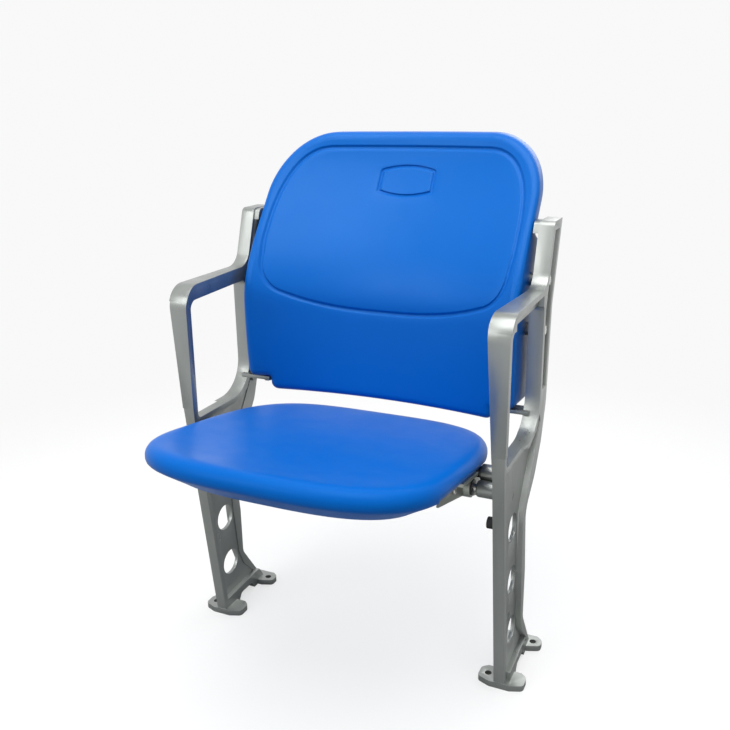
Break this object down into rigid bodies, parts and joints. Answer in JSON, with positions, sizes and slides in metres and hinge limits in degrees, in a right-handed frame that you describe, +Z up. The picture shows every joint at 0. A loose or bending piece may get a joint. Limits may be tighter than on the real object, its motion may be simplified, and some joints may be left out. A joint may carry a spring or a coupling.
{
  "type": "stadium seat",
  "caption": "Floor-mounted stadium seat: cast side frames with arm loops, a moulded dished back and a moulded seat that tips up on pivot pins.",
  "frame": {"origin": "centre of the seat's footprint, on the floor", "axes": "+X towards the sitter's left arm, -Y the way the sitter faces, +Z up"},
  "size_m": [0.601, 0.6193, 0.847],
  "materials": {
    "cast_aluminium": "satin cast, lightly polished",
    "blue_plastic": "semi-matte moulded",
    "black_rubber": "matte",
    "zinc_steel": "bright zinc plate",
    "bearing_plastic": "smooth",
    "bracket_metal": "zinc plated",
    "insert_brass": "turned"
  },
  "bodies": {
    "frame": {"back_shell": "blue_plastic", "right_side_frame": "cast_aluminium", "pivot_pin_right": "zinc_steel", "stop_buffer_right": "black_rubber", "seat_bumper_right": "black_rubber", "bumper_screws_right": "zinc_steel", "back_bolts_right": "zinc_steel", "back_washers_right": "zinc_steel", "back_inserts_right": "insert_brass", "lower_back_bolts_right": "zinc_steel", "lower_back_inserts_right": "insert_brass", "left_side_frame": "cast_aluminium", "pivot_pin_left": "zinc_steel", "stop_buffer_left": "black_rubber", "seat_bumper_left": "black_rubber", "bumper_screws_left": "zinc_steel", "back_bolts_left": "zinc_steel", "back_washers_left": "zinc_steel", "back_inserts_left": "insert_brass", "lower_back_bolts_left": "zinc_steel", "lower_back_inserts_left": "insert_brass"},
    "seat": {"seat_shell": "blue_plastic", "hinge_bracket_right": "bracket_metal", "pivot_bush_right": "bearing_plastic", "hinge_screws_right": "zinc_steel", "seat_inserts_right": "insert_brass", "hinge_bracket_left": "bracket_metal", "pivot_bush_left": "bearing_plastic", "hinge_screws_left": "zinc_steel", "seat_inserts_left": "insert_brass"}
  },
  "joints": [
    {"name": "seat_tilt", "type": "hinge", "parent": "frame", "child": "seat", "pos_m": [0, -0.0134, 0.341], "axis": [-1, 0, 0], "range_deg": [0, 75]}
  ]
}
